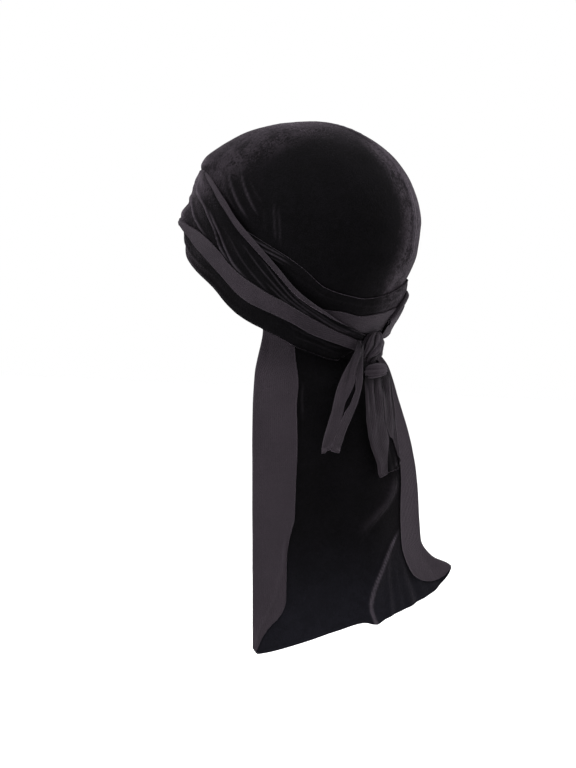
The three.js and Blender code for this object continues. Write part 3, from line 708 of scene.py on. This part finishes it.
def tail_relief(share, down):
    """How far the folds of the hanging cloth rise, and the highlights painted along them."""
    # the crease near the right corner is sharp on its left and gentle on its right
    line = tail_line(TAIL_CREASE, down, share)
    sharp = np.exp(-np.abs(line) / np.where(line < 0, 0.012, 0.04))
    crease = TAIL_CREASE_RISE * ease(down, 0.82, 0.95) * sharp
    # a round fold slants down to the left of it
    fold_line = tail_line(TAIL_FOLD, down, share)
    fold_start = ease(down, 0.68, 0.73)
    fold = TAIL_FOLD_RISE * bell(fold_line, 0.024) * fold_start * (1 - ease(down, 0.84, 0.9))
    # that corner is wavy, and a low fold runs out from the part turned over on the left
    waves = ease(down, 0.88, 1) * ease(share, 0.77, 0.83)
    waves = waves * (0.6 * np.sin(share * 96) + 0.5 * np.sin(share * 171 + 9 * down))
    side_line = tail_line(TAIL_SIDE_FOLD, down, share)
    side_fade = ease(down, 0.39, 0.44) * (1 - ease(down, 0.49, 0.58))
    side = TAIL_SIDE_RISE * bell(side_line, 0.014) * side_fade
    # painted highlights: a bright line along the crease, a broad one on the round fold, short
    # ones on the waves and a faint one on the low fold
    painted_light = 1.3 * bell(line + 0.002, 0.0065) * ease(down, 0.83, 0.88)
    bright = np.exp(-np.abs(fold_line) / np.where(fold_line < 0, 0.035, 0.012))
    painted_light = painted_light + 0.42 * bright * (fold_start * (1 - ease(down, 0.8, 0.87)))
    wavy = np.clip(np.sin(share * 96 + 5 * down), 0, 1) ** 4
    painted_light = painted_light + 0.12 * ease(down, 0.965, 1) * ease(share, 0.77, 0.83) * wavy
    painted_light = painted_light + 0.22 * bell(side_line, 0.008) * side_fade
    return crease + fold + waves + side, painted_light


def tail(name):
    """The tail: rows run from the nape to the hem, columns from its left edge to its right."""
    down = np.linspace(0, 1, TAIL_ROWS)
    left, right = along(TAIL_TURNS)(down).T[..., None]
    width = np.full((TAIL_ROWS, 1), TAIL_WIDTH)
    from_edge, flat, extra = turned_section(width, right * width, left * width, TAIL_COLUMNS)
    share = 1 - from_edge / width
    under = 1 - flat / width
    inside = np.clip(under, 0, 1)
    middle = tail_plan(inside, down)
    across = tail_plan(np.minimum(inside + TAIL_STEP, 1), down)
    across = across - tail_plan(np.maximum(inside - TAIL_STEP, 0), down)
    below = tail_plan(inside, np.minimum(down + TAIL_STEP, 1))
    below = below - tail_plan(inside, np.maximum(down - TAIL_STEP, 0))
    out = unit(np.cross(below, across))
    sideways = unit(across) * ((share - under) * width)[..., None]
    soft = 0.4 * wander(middle, 64, 5.2) + 0.12 * wander(middle, 22, 6.4)
    hanging = ease(down, 0.12, 0.3)[:, None]
    lengthways = down[:, None] + 0 * under
    turned = extra > TURNED
    relief, painted_light = tail_relief(under, lengthways)
    relief = relief * np.where(turned, 0.35, 1)
    # the part that is turned on the left has a line down it and a small tuck near its edge
    line = bell(tail_line(TAIL_BAND_LINE, lengthways, share), 0.007)
    line = line * ease(lengthways, 0.82, 0.88)
    tuck = bell(share - 0.045, 0.012) * bell(lengthways - 0.3, 0.035)
    on_left = turned & (under < 0.4)
    relief = relief + np.where(on_left, 0.9 * line - 0.9 * tuck, 0)
    # the turned parts get a weaker painted highlight, and the line down the left part a painted
    # highlight of its own
    painted_light = np.where(turned, 0.3 * painted_light, painted_light) + np.where(on_left, 0.8 * line, 0)
    lift = CLOTH / 2 + relief + soft * hanging + extra * (0.5 + 0.5 * hanging)
    point = middle + sideways + out * lift[..., None]
    corner = np.clip(1 - np.minimum(share, 1 - share) / TAIL_CORNER, 0, 1) ** 2
    point[..., 2] += TAIL_CORNER_RISE * corner * ease(lengthways, 0.93, 1)
    return cloth(name, point, out * (~turned)[..., None], painted_light)


# ---------------- knot and ends
def free_end(name, table, facing, tip, dull, seed):
    """A strap's end with both edges turned outwards, hanging from the knot. Its rows run down
    it; dull darkens the whole end, and the seed shifts its crumples."""
    steps = 1 - (1 - np.linspace(0, 1, END_ROWS)) ** CROWDING
    x, y, z, half, left, right = along(table)(steps).T
    out = np.array([math.sin(math.radians(facing)), math.cos(math.radians(facing)), 0.0])
    across = np.array([-out[1], out[0], 0.0])
    width = 2 * half[:, None]
    low = left[:, None] * width
    up = right[:, None] * width
    from_edge, _, extra = turned_section(width, low, up, END_COLUMNS)
    side = from_edge - width / 2
    way = steps[:, None]
    belly = 1.5 * (1 - (side / (width / 2)) ** 2)
    gather = 1 - ease(way, 0.05, 0.45)
    # crumples run down the end, deepest where it is gathered at the knot
    drift = 1.4 * np.sin(side * 0.23 + 3 * way + seed) + 0.8 * np.sin(way * 7 + seed)
    crumple = (0.15 + 0.7 * gather) * np.sin(side * 0.8 + drift + seed)
    crumple = crumple + 0.12 * gather * np.sin(side * 1.9 - 2 * drift)
    crumple = crumple * ease(way, 0, 0.12) + 0.3 * np.sin(way * 19 + side * 0.35 + seed)
    left_drop, middle_drop, right_drop, curl = tip
    place = np.clip(side / half[:, None], -1, 1)
    drop = np.interp(place, [-1, -0.1, 1], [left_drop, middle_drop, right_drop])
    drop = drop * ease(way, 0.8, 1) * (1 + 0.12 * np.sin(side * 2.3 + seed))
    # the last rows curl outwards at the two corners
    end = ease(way, 0.93, 1)
    centre = np.stack([x, y, z], -1)[:, None, :]
    lift = CLOTH / 2 + belly + crumple + extra + curl * end * np.abs(place) ** 2
    lift = lift + curl * bell(np.abs(place) - 0.8, 0.22) * bell(way - 0.98, 0.022)
    point = centre + side[..., None] * across + lift[..., None] * out
    point[..., 2] -= drop - curl * 0.8 * end**2 * np.abs(place) ** 2
    point = point + 0.25 * wander(point, 14, seed)[..., None] * out
    turned = extra > TURNED
    # painted shade in the crumples' valleys and where the end comes out of the knot, on top of
    # the even darkening by dull
    valley = np.clip(-np.sin(side * 0.8 + drift + seed), 0, 1) * (0.25 + 0.75 * gather)
    painted_light = -dull - 0.35 * valley * ease(way, 0, 0.1) - 0.5 * (1 - ease(way, 0, 0.12))
    return cloth(name, point, out * (~turned)[..., None], painted_light + 0 * side)


def ball_grid(rows, columns):
    """A ball's angle down from the top, its angle round, and its point for each step of them."""
    polar = np.linspace(POLE, math.pi - POLE, rows)
    around = np.linspace(0, 2 * math.pi, columns, endpoint=False)
    polar, around = np.meshgrid(polar, around, indexing="ij")
    ball = [np.sin(polar) * np.cos(around), np.sin(polar) * np.sin(around), np.cos(polar)]
    return polar, around, np.stack(ball, -1)


def bundle(name, point, ridge):
    """Gathered cloth with its knitted side out, closed at both ends."""
    rows, columns = point.shape[:2]
    index = np.arange(rows * columns).reshape(rows, columns)
    after = np.roll(index, -1, axis=1)
    faces = np.stack([index[:-1], index[1:], after[1:], after[:-1]], -1).reshape(-1, 4).tolist()
    faces += [index[0].tolist(), index[-1][::-1].tolist()]
    painted_light = np.clip(ridge, -1, 1).reshape(-1)
    return new_object(name, point.reshape(-1, 3), faces, (KNIT,), [0] * len(faces), painted_light)


def knot(name):
    """The strap's gathered folds: they run slantwise from the top of the knot to its foot."""
    polar, around, ball = ball_grid(*KNOT_GRID)
    twist = around + 0.95 * polar + 0.3 * np.sin(2 * polar + 1) + 0.22 * np.sin(2 * around)
    lobes = np.abs(np.sin(2.5 * twist + 1.1 + 0.3 * np.sin(3 * polar))) ** 0.7
    pleats = np.abs(np.sin(6.5 * twist + 0.9 * np.sin(3 * polar + around))) ** 0.8
    middle = np.sin(polar) ** 0.5
    scale = 1 - (0.2 * (1 - lobes) + 0.1 * (1 - pleats)) * middle
    foot = bell(polar - 0.74 * math.pi, 0.09) + 0.7 * bell(polar - 0.83 * math.pi, 0.06)
    scale = scale * (1 - 0.14 * foot * (0.7 + 0.3 * np.sin(3 * around + 1)))
    point = ball * scale[..., None] * np.array(KNOT_HALF)
    point[..., 1] += KNOT_LEAN * point[..., 2]
    point = point + np.array(KNOT_CENTRE) + 0.45 * wander(point, 8, 1.1)[..., None] * ball
    # painted highlight on the crests of the lobes, painted shade in the valleys between lobes
    # and pleats, and more painted shade towards the foot
    ridge = 0.35 * bell(lobes - 0.9, 0.15) - 0.9 * bell(lobes, 0.4) - 0.35 * bell(pleats, 0.4)
    return bundle(name, point, ridge - 0.6 * ease(polar, 1.9, 2.4))


def knot_turn(name):
    """The turn of strap below the knot, a band with its pleats running round it."""
    polar, around, ball = ball_grid(*LOOP_GRID)
    flat = np.cos(polar)
    level = np.sign(flat) * np.abs(flat) ** 0.8
    wide = (1 - np.abs(flat) ** 3.2) ** (1 / 3.2)
    pleats = 0.045 * np.sin(level * 7 + 0.6 * np.sin(around + 0.5) + 1.2)
    pleats = pleats + 0.03 * np.sin(level * 15 + 1.1 * np.sin(around * 2))
    wide = wide * (1 + pleats * (1 - flat**4))
    tilt = 1.2 * np.sin(around - 0.6) + 0.5 * np.sin(2 * around + 1)
    level = level * LOOP_HALF[2] * (1 + 0.12 * np.sin(around + 2.1)) + tilt
    point = [wide * np.cos(around) * LOOP_HALF[0], wide * np.sin(around) * LOOP_HALF[1], level]
    point = np.stack(point, -1) + np.array(LOOP_CENTRE)
    point = point + 0.2 * wander(point, 8, 0.3)[..., None] * ball
    # painted highlight on the pleats' crests, painted shade in their valleys and along the top
    # and bottom where the band meets the knot and the end
    return bundle(name, point, 4 * pleats - 0.7 * bell(np.abs(flat) - 0.97, 0.05) + 0.1)


# ---------------- finishes
VELVET_DEEP = (0.0009, 0.0008, 0.001)
VELVET_FLECK = (0.0015, 0.0013, 0.0017)
# painted sheen near the tail's hem
VELVET_HEM_SHEEN = (0.007, 0.007, 0.01)
# painted sheen over the crown's top and along the seam behind
VELVET_PAINTED_SHEEN = (0.026, 0.021, 0.0262)
# painted highlight along folds in the velvet
VELVET_PAINTED_HIGHLIGHT = (0.03, 0.0255, 0.0312)
VELVET_SHEEN = (0.75, 0.62, 0.76, 1)
KNIT_DARK = (0.0102, 0.0082, 0.0104)
KNIT_LIGHT = (0.0155, 0.0124, 0.0155)
# the knit is lighter lower down
KNIT_LOWER_DOWN = (0.0215, 0.0171, 0.0213)
# painted highlight along folds in the knit
KNIT_PAINTED_HIGHLIGHT = (0.026, 0.0215, 0.0265)
# painted shade in the knit's crumples and valleys, and the free ends' even darkening
KNIT_PAINTED_SHADE = (0.0035, 0.0031, 0.0036)
KNIT_SHEEN = (0.7, 0.62, 0.72, 1)
STAGE_PALE = (0.965, 0.965, 0.965)
STAGE_WHITE = (0.975, 0.975, 0.975)


class Wire:
    """A shader value that takes part in ordinary arithmetic."""

    def __init__(self, finish, socket):
        self.finish = finish
        self.socket = socket

    def math(self, operation, *values):
        sockets = dict(enumerate(values))
        return self.finish.add("ShaderNodeMath", {"operation": operation}, sockets)

    def __add__(self, other):
        return self.math("ADD", self, other)

    def __radd__(self, other):
        return self.math("ADD", other, self)

    def __sub__(self, other):
        return self.math("SUBTRACT", self, other)

    def __rsub__(self, other):
        return self.math("SUBTRACT", other, self)

    def __mul__(self, other):
        return self.math("MULTIPLY", self, other)

    def __rmul__(self, other):
        return self.math("MULTIPLY", other, self)

    def size(self):
        return self.math("ABSOLUTE", self)


class Finish:
    """A material with its nodes written as expressions."""

    def __init__(self, name):
        self.material = bpy.data.materials.new(name)
        self.material.use_nodes = True
        self.tree = self.material.node_tree
        self.tree.nodes.clear()

    def add(self, kind, settings, sockets, output=0):
        """A node of that kind, with its settings, then the values or wires of its sockets."""
        node = self.tree.nodes.new(kind)
        for key, value in settings.items():
            setattr(node, key, value)
        for key, value in sockets.items():
            if isinstance(value, Wire):
                self.tree.links.new(value.socket, node.inputs[key])
            else:
                node.inputs[key].default_value = value
        return None if output is None else Wire(self, node.outputs[output])

    def place(self):
        return self.add("ShaderNodeTexCoord", {}, {}, "Object")

    def ridge(self):
        """The highlight painted there, or the painted shade where it is below 0."""
        return self.add("ShaderNodeAttribute", {"attribute_name": "ridge"}, {}, "Fac")

    def noise(self, place, scale, detail=3.0, roughness=0.5, distortion=0.0):
        names = ("Vector", "Scale", "Detail", "Roughness", "Distortion")
        sockets = dict(zip(names, (place, scale, detail, roughness, distortion)))
        return self.add("ShaderNodeTexNoise", {}, sockets, "Fac")

    def between(self, value, low, high, start=0.0, end=1.0):
        """From start to end, smoothly, as the value goes from low to high."""
        names = ("Value", "From Min", "From Max", "To Min", "To Max")
        sockets = dict(zip(names, (value, low, high, start, end)))
        return self.add("ShaderNodeMapRange", {"interpolation_type": "SMOOTHSTEP"}, sockets)

    def parts(self, vector):
        """The three coordinates of a vector."""
        split = self.add("ShaderNodeSeparateXYZ", {}, {"Vector": vector}, "X")
        return [Wire(self, output) for output in split.socket.node.outputs]

    def blend(self, share, first, second):
        """A colour from first to second by the share; each is a colour or a wire."""
        ends = [end if isinstance(end, Wire) else (*end, 1) for end in (first, second)]
        sockets = {0: share, 6: ends[0], 7: ends[1]}
        return self.add("ShaderNodeMix", {"data_type": "RGBA"}, sockets, 2)

    def bump(self, height, distance, strength, normal=None):
        sockets = {"Height": height, "Distance": distance, "Strength": strength}
        if normal is not None:
            sockets["Normal"] = normal
        return self.add("ShaderNodeBump", {}, sockets)

    def finish(self, sockets):
        shader = self.add("ShaderNodeBsdfPrincipled", {}, sockets)
        self.add("ShaderNodeOutputMaterial", {}, {"Surface": shader}, None)
        return self.material


def velvet_finish():
    velvet = Finish("velvet")
    place = velvet.place()
    x, y, z = velvet.parts(place)
    patches = velvet.noise(place, scale=55.0, detail=4.0, roughness=0.6, distortion=0.8)
    crush = velvet.noise(place, scale=320.0, detail=5.0, roughness=0.7, distortion=1.6)
    pile = velvet.noise(place, scale=1500.0, detail=2.0, roughness=0.6)
    # Sheen is painted in: lighter flecks over the forehead and the top, and behind along the
    # seam
    flecks = velvet.between(crush * 0.65 + patches * 0.35, 0.43, 0.58)
    sheen_on_top = velvet.between(z - y * 0.65, -0.034, -0.004)
    near_seam = x.size() + (patches - 0.5) * 0.03
    sheen_by_seam = velvet.between(near_seam, 0.022, 0.01) * velvet.between(y, 0.045, 0.06)
    sheen_by_seam = sheen_by_seam * velvet.between(z, -0.165, -0.13)
    painted_sheen = (sheen_on_top * 0.4 + sheen_by_seam * 0.66) * (flecks * 0.95 + 0.05)
    # more painted sheen near the tail's hem, and painted highlights along the folds
    sheen_by_hem = velvet.between(z, -0.31, -0.41) * (0.7 + flecks * 0.3)
    painted_light = velvet.between(velvet.ridge(), 0.0, 1.0) * (0.65 + flecks * 0.35)
    colour = velvet.blend(flecks, VELVET_DEEP, VELVET_FLECK)
    colour = velvet.blend(sheen_by_hem * 0.6, colour, VELVET_HEM_SHEEN)
    colour = velvet.blend(painted_sheen, colour, VELVET_PAINTED_SHEEN)
    colour = velvet.blend(painted_light, colour, VELVET_PAINTED_HIGHLIGHT)
    nap = velvet.bump(pile, distance=0.0004, strength=0.4)
    nap = velvet.bump(crush, distance=0.0012, strength=0.5, normal=nap)
    return velvet.finish(
        {
            "Base Color": colour,
            "Roughness": velvet.between(painted_sheen, 0.0, 1.0, 0.92, 0.7),
            "Specular IOR Level": 0.03,
            "Sheen Weight": 0.1,
            "Sheen Roughness": 0.3,
            "Sheen Tint": VELVET_SHEEN,
            "Normal": nap,
        }
    )


def knit_finish():
    knit = Finish("knit_back")
    place = knit.place()
    flat = knit.add("ShaderNodeUVMap", {"uv_map": "cloth"}, {}, "UV")
    wales = knit.add(
        "ShaderNodeTexWave",
        {"wave_type": "BANDS", "bands_direction": "X"},
        {"Vector": flat, "Scale": 190.0, "Distortion": 0.6, "Detail": 1.0, "Detail Scale": 2.0},
        "Fac",
    )
    fuzz = knit.noise(place, scale=900.0, roughness=0.6)
    cloudy = knit.noise(place, scale=26.0, roughness=0.55)
    _, _, z = knit.parts(place)
    shade = knit.between(fuzz * 0.5 + cloudy * 0.5, 0.4, 0.6)
    colour = knit.blend(shade, KNIT_DARK, KNIT_LIGHT)
    # It is lighter lower down, a highlight is painted along folds, and painted shade darkens it
    # where it is crumpled
    ridge = knit.ridge()
    colour = knit.blend(knit.between(z, -0.17, -0.21) * 0.5, colour, KNIT_LOWER_DOWN)
    colour = knit.blend(knit.between(ridge, 0.0, 1.0) * 0.5, colour, KNIT_PAINTED_HIGHLIGHT)
    colour = knit.blend(knit.between(ridge, 0.0, -1.0), colour, KNIT_PAINTED_SHADE)
    loops = knit.bump(wales, distance=0.0003, strength=0.6)
    loops = knit.bump(fuzz, distance=0.0008, strength=0.8, normal=loops)
    return knit.finish(
        {
            "Base Color": colour,
            "Roughness": 0.92,
            "Specular IOR Level": 0.05,
            "Sheen Weight": 0.05,
            "Sheen Roughness": 0.5,
            "Sheen Tint": KNIT_SHEEN,
            "Normal": loops,
        }
    )


VELVET = velvet_finish()
KNIT = knit_finish()

# ---------------- the durag
crown_left = crown_panel("crown_left", side=1)
crown_right = crown_panel("crown_right", side=-1)
tail_cloth = tail("tail_cloth")
left_strap = strap("left_strap", LEFT_STRAP, LEFT_PLEATS, seed=0.4)
right_strap = strap("right_strap", RIGHT_STRAP, RIGHT_PLEATS, seed=2.9)
knot_bundle = knot("knot_bundle")
knot_band = knot_turn("knot_band")
left_end = free_end("left_end", LEFT_END, LEFT_END_FACING, LEFT_END_TIP, dull=0.2, seed=0.7)
right_end = free_end(
    "right_end", RIGHT_END, RIGHT_END_FACING, RIGHT_END_TIP, dull=0.42, seed=2.2
)

PIECES = [
    # piece, the node it stands for, its finish
    (crown_left, "crown_left_panel", "velvet"),
    (crown_right, "crown_right_panel", "velvet"),
    (tail_cloth, "tail", "velvet"),
    (left_strap, "strap_left", "velvet"),
    (right_strap, "strap_right", "velvet"),
    (knot_bundle, "knot", "knit_back"),
    (knot_band, "knot_loop", "knit_back"),
    (left_end, "strap_end_left", "knit_back"),
    (right_end, "strap_end_right", "knit_back"),
]
for piece, node, finish_name in PIECES:
    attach(piece, "root")
    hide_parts(node)

# ---------------- stage, light and camera
FLOOR_HEIGHT = -0.62
FLOOR_REACH = 4.0
LIGHTS = [
    # name, place, what it points at, size, power
    ("top_light", (0.3, 0.3, 1.5), (0, 0, -0.1), 0.9, 54),
    ("left_light", (1.3, -1.0, 0.2), (0, 0, -0.2), 0.8, 24),
    ("back_light", (-1.2, 1.1, 0.4), (0, 0, -0.15), 0.8, 22),
]


def stage_finish():
    pale = Finish("stage_pale")
    grain = pale.noise(pale.place(), scale=3.0)
    colour = pale.blend(grain, STAGE_PALE, STAGE_WHITE)
    return pale.finish({"Base Color": colour, "Roughness": 0.9})


def floor():
    square = [(-1, -1), (1, -1), (1, 1), (-1, 1)]
    corners = [(x * FLOOR_REACH, y * FLOOR_REACH, FLOOR_HEIGHT) for x, y in square]
    mesh = bpy.data.meshes.new("floor")
    mesh.from_pydata(corners, [], [(0, 1, 2, 3)])
    mesh.materials.append(stage_finish())
    linked("floor", mesh)


def looking(name, data, place, way):
    """A lamp or camera at a place, turned to look that way."""
    made = linked(name, data)
    made.location = place
    made.rotation_euler = way.to_track_quat("-Z", "Y").to_euler()
    return made


def soft_light(name, place, target, size, power):
    lamp = bpy.data.lights.new(name, "AREA")
    lamp.shape = "DISK"
    lamp.size = size
    lamp.energy = power
    looking(name, lamp, place, Vector(target) - Vector(place))


def camera(azimuth, elevation, distance, target, lens):
    a, e = math.radians(azimuth), math.radians(elevation)
    back = Vector((math.sin(a) * math.cos(e), -math.cos(a) * math.cos(e), math.sin(e)))
    data = bpy.data.cameras.new("camera")
    data.sensor_width = 36
    data.lens = lens
    made = looking("camera", data, Vector(target) + back * distance, -back)
    bpy.context.scene.camera = made


floor()
for light in LIGHTS:
    soft_light(*light)
camera(azimuth=118, elevation=5, distance=1.6, target=(0.0059, -0.018, -0.21), lens=92.1)

world = bpy.data.worlds.new("studio")
world.use_nodes = True
backdrop = world.node_tree.nodes["Background"].inputs
backdrop["Color"].default_value = (1, 1, 1, 1)
backdrop["Strength"].default_value = 1.0
bpy.context.scene.world = world
bpy.context.scene.view_settings.view_transform = "Standard"
